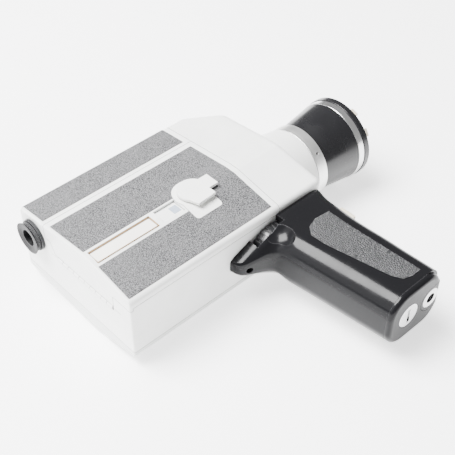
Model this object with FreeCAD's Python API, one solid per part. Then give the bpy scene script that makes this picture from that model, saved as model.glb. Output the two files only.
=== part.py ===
import FreeCAD, Part
import math
import os

# Vintage cine camera lying on its left side, millimetres.
# Working axes: X runs from the rear face towards the lens, Y is the camera's
# own "up" (the grip points to -Y), Z rises out of the film door.
# X = 0 is the rear face, Y = 0 and Z = 0 is the lens axis.
# SHIFT moves everything so that Z = 0 is the face the camera rests on and
# X = 0 is half way along the body.
os.makedirs("parts", exist_ok=True)

Vec = FreeCAD.Vector

# ---- driving dimensions -------------------------------------------------
BODY_LENGTH = 108.0        # rear face to the door's front seam
TOP_Y = 60.5               # top face above the lens axis
BOTTOM_Y = -38.6           # bottom face below the lens axis
RIDGE_HALF = 28.1          # half thickness at the flat ridge
RIDGE_TOP_Y = 2.4
RIDGE_LOW_Y = -4.6
TOP_HALF = 22.4            # half thickness at the top face
BOTTOM_HALF = 21.6         # half thickness at the bottom face
SEAM_Z = 17.15             # door and left cover part here
SEAM_GAP = 0.25
WALL = 1.8
SHIFT = Vec(-BODY_LENGTH / 2.0, 0.0, RIDGE_HALF)

DOOR_TOP_Y = 36.8          # door ends here, the top section is fixed
REAR_SEAM_Z = 15.6         # door seam on the rear face beside the hinge
LEAF_TOP_Y = 28.4          # hinge leaf of the door reaches lower here
LEAF_LOW_Y = -23.5
LEAF_Z = 8.4

HINGE_X = 0.6
HINGE_Z = 6.6
KNUCKLE_R = 1.3
PIN_R = 0.6
KNUCKLE_PITCH = 4.9
KNUCKLE_COUNT = 10
KNUCKLE_TOP_Y = 26.0

CHAMBER_FRONT_X = 102.5    # film plane side of the cartridge chamber
PLATE_TOP_Z = -7.0         # floor of the cartridge chamber
PLATE_LOW_Z = -9.0

SKIN_OUT = 0.35            # leatherette stands proud by this
SKIN_IN = 0.40             # and is let in by this
PANEL_X0 = 2.1
PANEL_X1 = 104.1

LATCH_X = 75.3
LATCH_Y = -2.0
HANDLE_R = 9.2
HANDLE_Z0 = 29.3
HANDLE_Z1 = 31.0
BOLT_LENGTH = 26.5         # from the handle's axis to the bolt's tip
BOLT_Z0 = 19.6
CATCH_Y0 = -8.0
CATCH_Y1 = 4.0
CATCH_FOOT_Z = 13.0
CATCH_LIP_Z = 21.6

NAME_X0 = 3.3
NAME_X1 = 45.0
NAME_Y0 = -8.9
NAME_Y1 = 0.4
WINDOW_RECESS_X0 = 48.6
WINDOW_RECESS_X1 = 63.6
WINDOW_X0 = 57.6
WINDOW_X1 = 62.6
WINDOW_Y0 = -7.0
WINDOW_Y1 = -1.3
STRIP_Y0 = -11.0
STRIP_Y1 = 2.3
RECESS_Z = 26.6

SCREW_XS = (10.0, 98.0)    # screws of the left cover
SCREW_YS = (-33.2, 56.0)

EYE_Y = 47.3
EYE_Z = 10.8

HOUSING_X0 = 108.25
HOUSING_X1 = 143.6
SNOUT_X1 = 157.9
SNOUT_R = 24.2

ZOOM_X0 = 158.2
ZOOM_X1 = 166.2
ZOOM_R = 24.0
BARREL_X0 = 166.5
BARREL_X1 = 192.7
TRIM_X1 = 197.4
FILTER_X1 = 201.6
FILTER_R = 26.9
GLASS_X0 = 187.0
GLASS_R = 21.0

SHUTTER_X = 111.0
SHUTTER_Y = 13.5
SHUTTER_R = 15.9
SHUTTER_SHAFT_R = 0.95
SHUTTER_TEETH = 30
SHUTTER_GEAR_R = 12.0
MOTOR_Y = 7.6
MOTOR_Z = -16.2
MOTOR_R = 7.2
MOTOR_X0 = 76.5
MOTOR_X1 = 103.5
MOTOR_SHAFT_R = 0.95
PINION_TEETH = 12
PINION_R = 4.9
GEAR_X0 = 114.0
GEAR_X1 = 116.0
WORM_R = 2.6
SPINDLE_TEETH = 32
SPINDLE_GEAR_R = 9.0
SPINDLE_X = 66.0
SPINDLE_Y = MOTOR_Y - WORM_R - SPINDLE_GEAR_R - 0.3

WHEEL_X = 99.0
WHEEL_R = 14.3
WHEEL_Y0 = -44.8
WHEEL_Y1 = -39.4

TRIGGER_Y0 = -61.0
TRIGGER_Y1 = -50.0
TRIGGER_HALF_Z = 3.2

STRAP_X = 76.6
STRAP_R = 2.0

GRIP_HALF = 17.9           # half thickness of the grip
GRIP_CORNER = 13.0
GRIP_REAR_TOP_X = 89.6
GRIP_REAR_END_X = 99.2
GRIP_END_Y = -126.2
CAP_END_Y = -129.6
BATTERY_X0 = 101.2
BATTERY_X1 = 127.4
BATTERY_HALF_Z = 15.0
BATTERY_CORNER = 10.5
BATTERY_TOP_Y = -73.5
SCOOP_R = 13.5
SCOOP_CENTRE = Vec(91.5, -52.5, 25.0)
COIN_X = 114.6
COIN_R = 7.5
LOCK_BAR_REACH = 10.0            # clears the fixed land as the cap slides off
TRIPOD_X = 133.2
TRIPOD_THREAD_R = 3.175
BUSH_R = 6.4
LAND_R = 8.2


# ---- small helpers ------------------------------------------------------
def block(x0, x1, y0, y1, z0, z1):
    return Part.makeBox(x1 - x0, y1 - y0, z1 - z0, Vec(x0, y0, z0))


def rod_x(radius, x0, x1, y, z):
    return Part.makeCylinder(radius, x1 - x0, Vec(x0, y, z), Vec(1, 0, 0))


def rod_y(radius, y0, y1, x, z):
    return Part.makeCylinder(radius, y1 - y0, Vec(x, y0, z), Vec(0, 1, 0))


def rod_z(radius, z0, z1, x, y):
    return Part.makeCylinder(radius, z1 - z0, Vec(x, y, z0), Vec(0, 0, 1))


def cone_x(r0, r1, x0, x1, y, z):
    return Part.makeCone(r0, r1, x1 - x0, Vec(x0, y, z), Vec(1, 0, 0))


def ring_x(r_out, r_in, x0, x1, y=0.0, z=0.0):
    return rod_x(r_out, x0, x1, y, z).cut(rod_x(r_in, x0 - 1, x1 + 1, y, z))


def prism_x(points, x0, x1):
    corners = [Vec(x0, y, z) for y, z in points]
    face = Part.Face(Part.makePolygon(corners + [corners[0]]))
    return face.extrude(Vec(x1 - x0, 0, 0))


def prism_y(points, y0, y1):
    corners = [Vec(x, y0, z) for x, z in points]
    face = Part.Face(Part.makePolygon(corners + [corners[0]]))
    return face.extrude(Vec(0, y1 - y0, 0))


def prism_z(points, z0, z1):
    corners = [Vec(x, y, z0) for x, y in points]
    face = Part.Face(Part.makePolygon(corners + [corners[0]]))
    return face.extrude(Vec(0, 0, z1 - z0))


def join(shapes):
    result = shapes[0]
    for shape in shapes[1:]:
        result = result.fuse(shape)
    return result.removeSplitter()


def round_edges(shape, radius, wanted):
    edges = [edge for edge in shape.Edges if wanted(edge)]
    return shape.makeFillet(radius, edges)


def runs_along(edge, axis):
    box = edge.BoundBox
    spans = {"x": box.XLength, "y": box.YLength, "z": box.ZLength}
    others = [spans[key] for key in spans if key != axis]
    return spans[axis] > 0.5 and max(others) < 0.01


def rounded_plate(x0, x1, y0, y1, z0, z1, radius):
    plate = block(x0, x1, y0, y1, z0, z1)
    return round_edges(plate, radius, lambda e: runs_along(e, "z"))


def ring_of_ticks(blank, cutter, axis_point, axis, count):
    step = 360.0 / count
    cutters = []
    for index in range(count):
        copy = cutter.copy()
        copy.rotate(axis_point, axis, step * index)
        cutters.append(copy)
    return blank.cut(Part.makeCompound(cutters))


def export(shape, name):
    moved = shape.copy()
    moved.translate(SHIFT)
    moved.exportStep("parts/" + name + ".step")


# ---- the outer form of the body -----------------------------------------
def half_at(y):
    if y > RIDGE_TOP_Y:
        slope = (RIDGE_HALF - TOP_HALF) / (TOP_Y - RIDGE_TOP_Y)
        return RIDGE_HALF - slope * (y - RIDGE_TOP_Y)
    if y < RIDGE_LOW_Y:
        slope = (RIDGE_HALF - BOTTOM_HALF) / (RIDGE_LOW_Y - BOTTOM_Y)
        return RIDGE_HALF - slope * (RIDGE_LOW_Y - y)
    return RIDGE_HALF


def section(offset, y_top=TOP_Y, y_low=BOTTOM_Y):
    top = y_top + offset
    low = y_low - offset
    right = [(top, half_at(y_top) + offset)]
    right.append((RIDGE_TOP_Y, RIDGE_HALF + offset))
    right.append((RIDGE_LOW_Y, RIDGE_HALF + offset))
    right.append((low, half_at(y_low) + offset))
    left = [(y, -z) for y, z in reversed(right)]
    return right + left


def long_corner(edge):
    y = edge.CenterOfMass.y
    return runs_along(edge, "x") and (y > TOP_Y - 1.5 or y < BOTTOM_Y + 1.5)


def body_form(offset, x0, x1, rear_round):
    form = prism_x(section(offset), x0, x1)
    form = round_edges(form, 2.8 + offset, long_corner)
    if rear_round > 0:
        form = round_edges(form, rear_round, lambda e: e.BoundBox.XMax < x0 + 0.01)
    return form


OUTER = body_form(0.0, 0.0, BODY_LENGTH, 1.1)
SKIN_LAYER = body_form(SKIN_OUT, -5.0, BODY_LENGTH + 5, 0.0).cut(
    body_form(-SKIN_IN, -6.0, BODY_LENGTH + 6, 0.0))


def rear_seam_outline(gap):
    # Region of the rear wall that belongs to the door, as (y, z) corners.
    far = 60.0
    return [(BOTTOM_Y - 2, REAR_SEAM_Z - gap), (LEAF_LOW_Y - gap, REAR_SEAM_Z - gap),
            (LEAF_LOW_Y - gap, LEAF_Z - gap), (LEAF_TOP_Y + gap, LEAF_Z - gap),
            (LEAF_TOP_Y + 3.4 + gap, REAR_SEAM_Z - gap),
            (DOOR_TOP_Y + gap, REAR_SEAM_Z - gap), (DOOR_TOP_Y + gap, far),
            (BOTTOM_Y - 2, far)]


def door_region(gap):
    main = block(-2, BODY_LENGTH + 1, BOTTOM_Y - 2, DOOR_TOP_Y + gap, SEAM_Z - gap + 0.12, 60)
    rear = prism_x(rear_seam_outline(gap), -2, WALL + gap)
    return join([main, rear])


# ---- film door and what is fixed to it ----------------------------------
def latch_plate_outline(margin, z0, z1):
    disc = rod_z(11.3 + margin, z0, z1, LATCH_X - 0.3, LATCH_Y + 0.9)
    left = LATCH_X - 10.6 - margin
    right = LATCH_X + 8.4 + margin
    foot = block(left, right, -18.4 - margin, LATCH_Y, z0, z1)
    foot = round_edges(foot, 2.0, lambda e: runs_along(e, "z") and e.CenterOfMass.y < -15)
    return join([disc, foot])


def strip(z0, z1):
    # The bare strip that runs from the rear of the door to the latch.
    return block(PANEL_X0 - 1, LATCH_X, STRIP_Y0, STRIP_Y1, z0, z1)


DOOR_PANEL = SKIN_LAYER.common(block(PANEL_X0, PANEL_X1, -35.7, 32.8, SEAM_Z + 1, 60))
DOOR_PANEL = DOOR_PANEL.cut(join([latch_plate_outline(0.15, 20, 40), strip(20, 40)]))
LATCH_PLATE = SKIN_LAYER.common(latch_plate_outline(0.0, 20, 40))
LATCH_PLATE = LATCH_PLATE.cut(rod_z(3.3, 20, 40, LATCH_X, LATCH_Y))


def door_knuckles():
    pieces = []
    for index in range(1, KNUCKLE_COUNT, 2):
        y1 = KNUCKLE_TOP_Y - index * KNUCKLE_PITCH - 0.12
        y0 = y1 - KNUCKLE_PITCH + 0.24
        pieces.append(rod_y(KNUCKLE_R, y0, y1, HINGE_X, HINGE_Z))
        pieces.append(block(0.15, WALL, y0, y1, HINGE_Z, LEAF_Z + 0.5))
    return pieces


def film_door():
    shell = OUTER.common(door_region(0.0))
    hollow = prism_x(section(-WALL, DOOR_TOP_Y, BOTTOM_Y), WALL, BODY_LENGTH - WALL)
    shell = shell.cut(hollow)
    shell = join([shell] + door_knuckles())
    shell = shell.cut(rod_y(PIN_R + 0.05, -30, 32, HINGE_X, HINGE_Z))
    pads = []
    for x in (18.0, 92.0):
        for y in (-30.0, 28.0):
            pads.append(rod_z(2.5, 18.0, half_at(y) - 1.0, x, y))
    shell = join([shell] + pads)
    boss = rod_z(6.0, 24.0, 27.0, LATCH_X, LATCH_Y)
    backing = block(NAME_X0 - 1.5, WINDOW_RECESS_X1 + 1.2, STRIP_Y0 + 0.8, STRIP_Y1 - 0.6, 25.3, 26.7)
    shell = join([shell, boss, backing])
    shell = shell.cut(rod_z(3.1, 20, 40, LATCH_X, LATCH_Y))
    recess_name = block(NAME_X0, NAME_X1, NAME_Y0, NAME_Y1, RECESS_Z, 40)
    recess_window = block(WINDOW_RECESS_X0, WINDOW_RECESS_X1, NAME_Y0, NAME_Y1 + 0.6, RECESS_Z, 40)
    window_hole = block(WINDOW_X0, WINDOW_X1, WINDOW_Y0, WINDOW_Y1, 20, 40)
    shell = shell.cut(join([recess_name, recess_window, window_hole]))
    for cover in (DOOR_PANEL, LATCH_PLATE):
        shell = shell.cut(cover)
    return shell


def name_plate():
    return block(NAME_X0, NAME_X1, NAME_Y0, NAME_Y1, RECESS_Z, RECESS_Z + 0.35)


def film_window():
    return block(WINDOW_X0, WINDOW_X1, WINDOW_Y0, WINDOW_Y1, RECESS_Z - 0.3, RECESS_Z + 0.1)


def hinge_pin():
    return rod_y(PIN_R, KNUCKLE_TOP_Y - KNUCKLE_COUNT * KNUCKLE_PITCH + 0.2,
                 KNUCKLE_TOP_Y - 0.2, HINGE_X, HINGE_Z)


# ---- body casting, left cover -------------------------------------------
def body_knuckles():
    pieces = []
    for index in range(0, KNUCKLE_COUNT, 2):
        y1 = KNUCKLE_TOP_Y - index * KNUCKLE_PITCH - 0.12
        y0 = y1 - KNUCKLE_PITCH + 0.24
        pieces.append(rod_y(KNUCKLE_R, y0, y1, HINGE_X, HINGE_Z))
        pieces.append(block(0.15, WALL, y0, y1, HINGE_Z - 2.4, HINGE_Z))
    return pieces


UPPER_PANEL = SKIN_LAYER.common(join([
    block(PANEL_X0, PANEL_X1, 39.9, TOP_Y + 5, SEAM_Z + 2, 60),
    block(PANEL_X0, PANEL_X1, TOP_Y - 3, TOP_Y + 5, -15.5, 60)]))


def body_shell():
    shell = OUTER.common(block(-2, BODY_LENGTH + 1, -50, 70, -SEAM_Z + 0.12, 40))
    shell = shell.cut(door_region(SEAM_GAP))
    chamber = block(WALL, CHAMBER_FRONT_X + 1.5, BOTTOM_Y + WALL, DOOR_TOP_Y - 1.6, PLATE_TOP_Z, 40)
    mechanism = block(WALL, BODY_LENGTH - WALL, BOTTOM_Y + WALL, TOP_Y - WALL, -40, PLATE_LOW_Z)
    finder = block(WALL, BODY_LENGTH + 1, DOOR_TOP_Y + 1.9, TOP_Y - WALL, PLATE_LOW_Z - 1, 20.6)
    shell = shell.cut(chamber)
    shell = shell.cut(mechanism)
    shell = shell.cut(finder)
    light_path = rod_x(12.0, CHAMBER_FRONT_X, BODY_LENGTH + 2, 0, 0)
    shell = shell.cut(light_path)
    claw_slot = block(CHAMBER_FRONT_X + 1.4, BODY_LENGTH + 1, -18.6, -3.0, -8.2, -2.0)
    shell = shell.cut(claw_slot)
    shell = shell.cut(rod_x(SHUTTER_SHAFT_R + 0.05, CHAMBER_FRONT_X, BODY_LENGTH + 1, SHUTTER_Y, 0))
    shell = shell.cut(rod_x(MOTOR_SHAFT_R + 0.05, CHAMBER_FRONT_X, BODY_LENGTH + 1, MOTOR_Y, MOTOR_Z))
    channel = block(-1, WALL + 0.2, LEAF_LOW_Y + 0.1, KNUCKLE_TOP_Y + 0.2, HINGE_Z - 1.8, 20)
    shell = shell.cut(channel)
    shell = join([shell] + body_knuckles())
    shell = shell.cut(rod_y(PIN_R, -30, 32, HINGE_X, HINGE_Z))
    for x in SCREW_XS:
        for y in SCREW_YS:
            post = rod_z(3.2, -SEAM_Z + 0.12, PLATE_LOW_Z + 0.5, x, y)
            shell = join([shell, post])
            shell = shell.cut(rod_z(1.25, -30, PLATE_LOW_Z - 0.5, x, y))
    shell = shell.cut(rod_x(7.6, -2, 4, EYE_Y, EYE_Z))
    shell = shell.cut(rod_z(2.05, -20, 0, SPINDLE_X, SPINDLE_Y))
    shell = shell.cut(rod_y(2.1, -45, -30, WHEEL_X, 0))
    shell = shell.cut(UPPER_PANEL)
    return shell


LEFT_UPPER_PANEL = SKIN_LAYER.common(block(PANEL_X0, PANEL_X1, 9.0, 52.4, -60, -SEAM_Z - 1))
LEFT_LOWER_PANEL = SKIN_LAYER.common(block(PANEL_X0, PANEL_X1, -29.6, -11.0, -60, -SEAM_Z - 1))


def left_cover():
    shell = OUTER.common(block(-2, BODY_LENGTH + 1, -50, 70, -60, -SEAM_Z - 0.13))
    hollow = prism_x(section(-WALL), WALL, BODY_LENGTH - WALL)
    shell = shell.cut(hollow)
    for x in SCREW_XS:
        for y in SCREW_YS:
            depth = -half_at(y) + 0.5
            shell = join([shell, rod_z(3.2, depth, -SEAM_Z - 0.13, x, y)])
            shell = shell.cut(rod_z(1.35, -40, 0, x, y))
            shell = shell.cut(rod_z(2.4, -40, -half_at(y) + 2.2, x, y))
    shell = shell.cut(LEFT_UPPER_PANEL)
    shell = shell.cut(LEFT_LOWER_PANEL)
    return shell


def cover_screws():
    pieces = []
    for x in SCREW_XS:
        for y in SCREW_YS:
            head_z = -half_at(y) + 0.6
            head = rod_z(2.3, head_z, head_z + 1.6, x, y)
            slot = block(x - 3, x + 3, y - 0.3, y + 0.3, head_z - 1, head_z + 0.6)
            stem = rod_z(1.25, head_z + 1.5, -11.0, x, y)
            pieces.append(join([head, stem]).cut(slot))
    return pieces


# ---- front housing ------------------------------------------------------
def front_housing():
    form = prism_x(section(0.0), HOUSING_X0, HOUSING_X1)
    form = round_edges(form, 2.8, long_corner)
    slope = prism_z([(118.0, 80.0), (118.0, TOP_Y + 0.4), (HOUSING_X1 + 4, 38.0),
                     (HOUSING_X1 + 4, 80.0)], -60, 60)
    form = form.cut(slope)
    form = round_edges(form, 5.0, lambda e: front_rim(e))
    snout = cone_x(27.0, SNOUT_R, HOUSING_X1 - 6, SNOUT_X1, 0, 0)
    form = join([form, snout])
    hollow = prism_x(section(-2.2, 40.0), HOUSING_X0 - 1, HOUSING_X1 - 2.5)
    upper = block(HOUSING_X0 - 1, 122.0, 20.0, 56.0, -19, 19)
    form = form.cut(join([hollow, upper]))
    form = form.cut(rod_x(19.0, HOUSING_X1 - 5, SNOUT_X1 + 2, 0, 0))
    return form


def front_rim(edge):
    box = edge.BoundBox
    return box.XMin > HOUSING_X1 - 0.01 and edge.CenterOfMass.y > -30


def housing_screws():
    pieces = []
    for z in (-12.0, 12.0):
        head = rod_y(1.5, BOTTOM_Y + 0.1, BOTTOM_Y + 1.2, 140.2, z)
        stem = rod_y(0.9, BOTTOM_Y + 1.1, BOTTOM_Y + 2.2, 140.2, z)
        pieces.append(join([head, stem]))
    return pieces


def housing_with_screw_holes():
    return front_housing().cut(Part.makeCompound(housing_screws()))


# ---- lens ---------------------------------------------------------------
def lens_tube():
    tube = ring_x(18.9, 16.6, 136.0, 186.0)
    flange = ring_x(25.0, 16.6, 138.6, HOUSING_X1 - 2.5)
    return join([tube, flange])


def rear_lens_cell():
    return ring_x(16.6, 9.0, 137.0, 143.0)


def rear_element():
    return rod_x(9.0, 137.6, 142.0, 0, 0)


def iris_plate():
    return ring_x(16.6, 5.5, 150.0, 151.0)


def zoom_ring():
    ring = ring_x(ZOOM_R, 19.0, ZOOM_X0, ZOOM_X1)
    ring = round_edges(ring, 0.4, lambda e: e.BoundBox.YLength > 2 * ZOOM_R - 0.1)
    angle = math.radians(135.0)
    hole = Part.makeCylinder(0.9, 6.0, Vec(162.4, 0, 0) + grub_direction(angle) * 20.0,
                             grub_direction(angle))
    return ring.cut(hole)


def grub_direction(angle):
    return Vec(0, math.cos(angle), math.sin(angle))


def zoom_grub_screw():
    angle = math.radians(135.0)
    way = grub_direction(angle)
    screw = Part.makeCylinder(0.9, 3.0, Vec(162.4, 0, 0) + way * 20.3, way)
    hexagon = Part.makeCylinder(0.45, 2.0, Vec(162.4, 0, 0) + way * 22.0, way)
    return screw.cut(hexagon)


def focus_barrel():
    outer = cone_x(22.6, 26.1, BARREL_X0, BARREL_X1, 0, 0)
    inner = rod_x(19.0, BARREL_X0 - 1, GLASS_X0 + 0.1, 0, 0)
    pocket = rod_x(GLASS_R, GLASS_X0, 190.1, 0, 0)
    mouth = cone_x(GLASS_R, 23.4, 190.0, BARREL_X1 + 0.1, 0, 0)
    return outer.cut(join([inner, pocket, mouth]))


def trim_ring():
    ring = ring_x(26.45, 23.4, BARREL_X1, TRIM_X1)
    return round_edges(ring, 0.35, lambda e: e.BoundBox.YLength > 52.0)


def filter_ring():
    ring = ring_x(FILTER_R, 24.6, TRIM_X1, FILTER_X1)
    step = ring_x(26.0, 23.4, TRIM_X1, TRIM_X1 + 1.4)
    ring = join([ring, step])
    return round_edges(ring, 0.3, lambda e: e.BoundBox.YLength > 53.6)


def front_lugs():
    carrier = ring_x(24.6, 23.0, FILTER_X1 - 2.4, FILTER_X1 - 0.2)
    pieces = [carrier]
    for angle in (112.0, 148.0, 292.0, 328.0):
        lug = block(FILTER_X1 - 2.0, FILTER_X1 + 4.2, 22.9, 24.3, -2.6, 2.6)
        lug = round_edges(lug, 0.6, lambda e: e.BoundBox.XMin > FILTER_X1 + 4.0)
        lug.rotate(Vec(0, 0, 0), Vec(1, 0, 0), angle)
        pieces.append(lug)
    return join(pieces)


def front_element():
    ball_radius = 60.0
    crown_x = 193.6
    ball = Part.makeSphere(ball_radius, Vec(crown_x - ball_radius, 0, 0))
    return rod_x(GLASS_R, GLASS_X0, crown_x + 1, 0, 0).common(ball)


# ---- viewfinder ---------------------------------------------------------
def eyepiece_base():
    base = ring_x(9.6, 6.0, -1.8, 0.0, EYE_Y, EYE_Z)
    neck = ring_x(7.5, 6.0, -4.1, 6.0, EYE_Y, EYE_Z)
    collar = ring_x(8.4, 6.0, 1.8, 4.0, EYE_Y, EYE_Z)
    return join([base, neck, collar])


def dioptre_ring():
    ring = ring_x(8.8, 7.56, -4.3, -2.1, EYE_Y, EYE_Z)
    groove = rod_x(0.28, -5, -1.7, EYE_Y + 8.9, EYE_Z)
    return ring_of_ticks(ring, groove, Vec(0, EYE_Y, EYE_Z), Vec(1, 0, 0), 48)


def eyecup():
    flare = cone_x(9.9, 9.3, -5.4, -4.3, EYE_Y, EYE_Z)
    bowl = cone_x(9.2, 5.6, -5.5, -4.7, EYE_Y, EYE_Z)
    sleeve = rod_x(5.95, -4.7, -0.5, EYE_Y, EYE_Z)
    cup = join([flare, sleeve]).cut(bowl)
    return cup.cut(cone_x(5.2, 4.6, -5.0, 0.0, EYE_Y, EYE_Z))


def eye_lens():
    return rod_x(6.0, 0.2, 2.0, EYE_Y, EYE_Z)


def finder_tube():
    tube = ring_x(7.0, 5.6, 6.0, 100.0, EYE_Y, EYE_Z)
    feet = block(20, 26, EYE_Y + 6.6, TOP_Y - WALL, EYE_Z - 4, EYE_Z + 4)
    foot_front = block(84, 90, EYE_Y + 6.6, TOP_Y - WALL, EYE_Z - 4, EYE_Z + 4)
    clear = rod_x(6.0, 10, 95, EYE_Y, EYE_Z)
    return join([tube, feet.cut(clear), foot_front.cut(clear)])


def finder_relay_lens():
    return rod_x(5.6, 60.0, 62.5, EYE_Y, EYE_Z)


def finder_prism():
    corners = [(100.0, EYE_Y - 6.0), (112.0, EYE_Y - 6.0), (100.0, EYE_Y + 6.0)]
    return prism_z(corners, EYE_Z - 6.0, EYE_Z + 6.0)


# ---- film gate, shutter and drive ---------------------------------------
def film_gate():
    plate = block(CHAMBER_FRONT_X, CHAMBER_FRONT_X + 1.5, -22, 22, PLATE_TOP_Z, CATCH_FOOT_Z)
    aperture = block(100, 110, -2.1, 2.1, -2.9, 2.9)
    claw_slot = block(100, 110, -14.0, -6.0, -4.6, -3.4)
    rail_top = block(CHAMBER_FRONT_X - 0.4, CHAMBER_FRONT_X + 0.1, -20, 20, 4.2, 5.0)
    return join([plate, rail_top]).cut(join([aperture, claw_slot]))


def film_claw():
    tooth = block(101.2, 106.4, -13.4, -12.6, -4.3, -3.7)
    stem = block(104.6, 106.4, -13.8, -6.4, -7.2, -3.5)
    return join([tooth, stem])


def shutter_disc():
    disc = rod_x(SHUTTER_R, SHUTTER_X, SHUTTER_X + 0.6, SHUTTER_Y, 0)
    wedge = prism_x([(SHUTTER_Y, 0), (SHUTTER_Y + 30, -16.0), (SHUTTER_Y + 30, 40.0),
                     (SHUTTER_Y - 30, 40.0)], SHUTTER_X - 1, SHUTTER_X + 2)
    hub = rod_x(3.0, SHUTTER_X - 0.2, SHUTTER_X + 2.0, SHUTTER_Y, 0)
    disc = join([disc.cut(wedge), hub])
    return disc.cut(rod_x(SHUTTER_SHAFT_R, 100, 120, SHUTTER_Y, 0))


def shutter_shaft():
    return rod_x(SHUTTER_SHAFT_R, 104.4, GEAR_X1 + 0.6, SHUTTER_Y, 0)


def toothed_disc(radius, x0, x1, y, z, teeth, bore):
    disc = ring_x(radius, bore, x0, x1, y, z)
    groove = rod_x(radius * 1.3 / teeth, x0 - 1, x1 + 1, y + radius, z)
    return ring_of_ticks(disc, groove, Vec(0, y, z), Vec(1, 0, 0), teeth)


def shutter_gear():
    return toothed_disc(SHUTTER_GEAR_R, GEAR_X0, GEAR_X1, SHUTTER_Y, 0, SHUTTER_TEETH, SHUTTER_SHAFT_R)


def drive_pinion():
    return toothed_disc(PINION_R, GEAR_X0 - 0.3, GEAR_X1 + 0.3, MOTOR_Y, MOTOR_Z, PINION_TEETH,
                        MOTOR_SHAFT_R)


def drive_motor():
    can = rod_x(MOTOR_R, MOTOR_X0, MOTOR_X1, MOTOR_Y, MOTOR_Z)
    noses = rod_x(2.6, MOTOR_X0 - 1.5, MOTOR_X1 + 1.5, MOTOR_Y, MOTOR_Z)
    return join([can, noses]).cut(rod_x(MOTOR_SHAFT_R + 0.05, 60, 120, MOTOR_Y, MOTOR_Z))


def motor_shaft():
    return rod_x(MOTOR_SHAFT_R, 60.5, GEAR_X1 + 0.8, MOTOR_Y, MOTOR_Z)


def drive_worm():
    worm = ring_x(WORM_R, MOTOR_SHAFT_R, 61.5, 70.5, MOTOR_Y, MOTOR_Z)
    for index in range(6):
        x = 62.4 + 1.4 * index
        worm = worm.cut(ring_x(WORM_R + 1, WORM_R - 0.5, x, x + 0.6, MOTOR_Y, MOTOR_Z))
    return worm


def motor_clip():
    # A flat saddle over the motor with two feet under the mechanism plate.
    outer = MOTOR_R + 1.2
    low = MOTOR_Z - outer
    saddle = block(86.0, 92.0, MOTOR_Y - outer, MOTOR_Y + outer, low, PLATE_LOW_Z)
    saddle = round_edges(saddle, 5.0, lambda e: runs_along(e, "x") and e.CenterOfMass.z < low + 1)
    feet = block(86.0, 92.0, MOTOR_Y - 13.0, MOTOR_Y + 13.0, PLATE_LOW_Z - 1.3, PLATE_LOW_Z)
    mouth = block(80, 100, MOTOR_Y - 5.0, MOTOR_Y + 5.0, MOTOR_Z, PLATE_LOW_Z + 1)
    return join([saddle, feet]).cut(mouth).cut(rod_x(MOTOR_R, 80, 100, MOTOR_Y, MOTOR_Z))


def takeup_spindle():
    dog = rod_z(4.0, PLATE_TOP_Z + 0.4, -4.0, SPINDLE_X, SPINDLE_Y)
    slot = block(SPINDLE_X - 5, SPINDLE_X + 5, SPINDLE_Y - 0.8, SPINDLE_Y + 0.8, -5.4, 0)
    shaft = rod_z(2.0, MOTOR_Z - 1.9, PLATE_TOP_Z + 0.6, SPINDLE_X, SPINDLE_Y)
    gear = rod_z(SPINDLE_GEAR_R, MOTOR_Z - 1.6, MOTOR_Z + 1.6, SPINDLE_X, SPINDLE_Y)
    groove = rod_z(0.35, -30, -10, SPINDLE_X + SPINDLE_GEAR_R, SPINDLE_Y)
    body = join([dog.cut(slot), shaft, gear])
    return ring_of_ticks(body, groove, Vec(SPINDLE_X, SPINDLE_Y, 0), Vec(0, 0, 1), SPINDLE_TEETH)


def circuit_board():
    board = block(12.0, 56.0, -26.0, 30.0, -15.2, -13.8)
    parts = [board]
    for index in range(3):
        x = 20.0 + 12.0 * index
        parts.append(rod_z(3.0, -20.5, -15.1, x, 18.0))
        parts.append(block(x - 3, x + 5, -14.0, -8.0, -17.6, -15.1))
    for x in (15.0, 53.0):
        for y in (-22.0, 26.0):
            parts.append(rod_z(2.0, -13.9, PLATE_LOW_Z, x, y))
    return join(parts)


def latch_catch():
    # Stands on the chamber's front wall; the bolt turns in under its lip.
    post = block(CHAMBER_FRONT_X, CHAMBER_FRONT_X + 1.5, CATCH_Y0, CATCH_Y1, CATCH_FOOT_Z, CATCH_LIP_Z + 1.1)
    lip = block(CHAMBER_FRONT_X - 5.5, CHAMBER_FRONT_X + 0.1, CATCH_Y0, CATCH_Y1,
                CATCH_LIP_Z, CATCH_LIP_Z + 1.1)
    return join([post, lip])


# ---- latch --------------------------------------------------------------
def latch_handle():
    disc = rod_z(HANDLE_R, HANDLE_Z0, HANDLE_Z1, LATCH_X, LATCH_Y)
    outline = [(LATCH_X - 9.1, LATCH_Y), (LATCH_X - 5.2, LATCH_Y - 11.4),
               (LATCH_X + 8.0, LATCH_Y - 10.6), (LATCH_X + 8.0, LATCH_Y + 2.0)]
    lever = prism_z(outline, HANDLE_Z0, HANDLE_Z1)
    tab = block(LATCH_X, LATCH_X + 14.6, LATCH_Y - 5.2, LATCH_Y + 4.6, HANDLE_Z0, HANDLE_Z1)
    head = round_edges(join([disc, lever, tab]), 0.35, lambda e: e.BoundBox.ZMin > HANDLE_Z1 - 0.01)
    boss = rod_z(7.4, HANDLE_Z0 - 0.75, HANDLE_Z0 + 0.1, LATCH_X, LATCH_Y)
    shaft = rod_z(3.0, 22.0, HANDLE_Z0, LATCH_X, LATCH_Y)
    return join([head, boss, shaft])


def latch_bolt():
    # At rest it points down along the door; a quarter turn takes it to the catch.
    arm = rounded_plate(LATCH_X - 3.5, LATCH_X + 3.5, LATCH_Y - BOLT_LENGTH, LATCH_Y + 5.0,
                        BOLT_Z0, BOLT_Z0 + 1.4, 1.5)
    collar = rod_z(5.0, BOLT_Z0, 23.6, LATCH_X, LATCH_Y)
    return join([arm, collar]).cut(rod_z(3.0, 22.0, 30, LATCH_X, LATCH_Y))


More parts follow.
